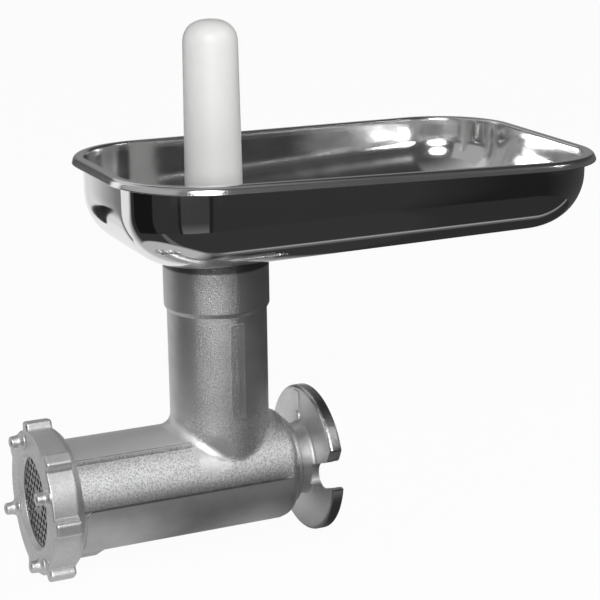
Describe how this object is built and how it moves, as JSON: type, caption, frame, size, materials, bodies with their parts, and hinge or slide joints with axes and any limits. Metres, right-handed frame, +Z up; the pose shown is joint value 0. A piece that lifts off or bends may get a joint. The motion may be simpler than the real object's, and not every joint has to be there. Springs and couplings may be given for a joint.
{
  "type": "meat mincer attachment",
  "caption": "Mincing attachment for a kitchen machine: cast barrel with worm, knife, holed plate and lugged ring nut, upright feed neck, polished steel tray and white pusher.",
  "frame": {"origin": "centre of the hub register at the mounting plane on the back of the flange", "axes": "+X along the barrel, out of the back of the flange towards the kitchen machine; -X is the discharge end; +Z up, along the feed neck"},
  "size_m": [0.4092, 0.2321, 0.3788],
  "materials": {
    "tinned_casting": "hot-dip tinned rough casting, satin",
    "ring_casting": "hot-dip tinned casting, slightly brighter from handling",
    "worm_casting": "tinned casting, satin",
    "ground_steel": "ground tool steel",
    "bronze": "plain bearing bronze",
    "polished_stainless": "mirror polished stainless sheet",
    "white_plastic": "off-white, slightly glossy moulding",
    "black_rubber": "food grade rubber, matt"
  },
  "bodies": {
    "housing": {"housing": "tinned_casting", "feed_neck": "tinned_casting", "hub_flange": "tinned_casting", "plate_key": "ground_steel", "rear_bush": "bronze", "shaft_seal": "black_rubber", "thrust_washer": "bronze", "spout_seal": "black_rubber"},
    "worm": {"worm": "worm_casting", "worm_shank": "ground_steel", "shank_pin": "ground_steel", "knife_stud": "ground_steel", "knife": "ground_steel"},
    "plate": {"hole_plate": "ground_steel"},
    "ring": {"ring_nut": "ring_casting"},
    "tray": {"tray": "polished_stainless", "tray_spout": "polished_stainless", "tray_seat": "polished_stainless"},
    "pusher": {"pusher": "white_plastic", "pusher_plug": "white_plastic"}
  },
  "joints": [
    {"name": "worm_spin", "type": "hinge", "parent": "housing", "child": "worm", "pos_m": [-0.1, 0, 0], "axis": [-1, 0, 0], "continuous": true},
    {"name": "plate_slide", "type": "slide", "parent": "housing", "child": "plate", "axis": [-1, 0, 0], "range_m": [0, 0.017]},
    {"name": "ring_turn", "type": "hinge", "parent": "plate", "child": "ring", "pos_m": [-0.2, 0, 0], "axis": [-1, 0, 0], "range_deg": [0, 2041]},
    {"name": "tray_lift", "type": "slide", "parent": "housing", "child": "tray", "axis": [0, 0, 1], "range_m": [0, 0.03]},
    {"name": "pusher_lift", "type": "slide", "parent": "tray", "child": "pusher", "axis": [0, 0, 1], "range_m": [0, 0.13]}
  ],
  "couplings": [
    {"joint": "ring_turn", "follows": "plate_slide", "rad_per_m": 2094.4}
  ]
}
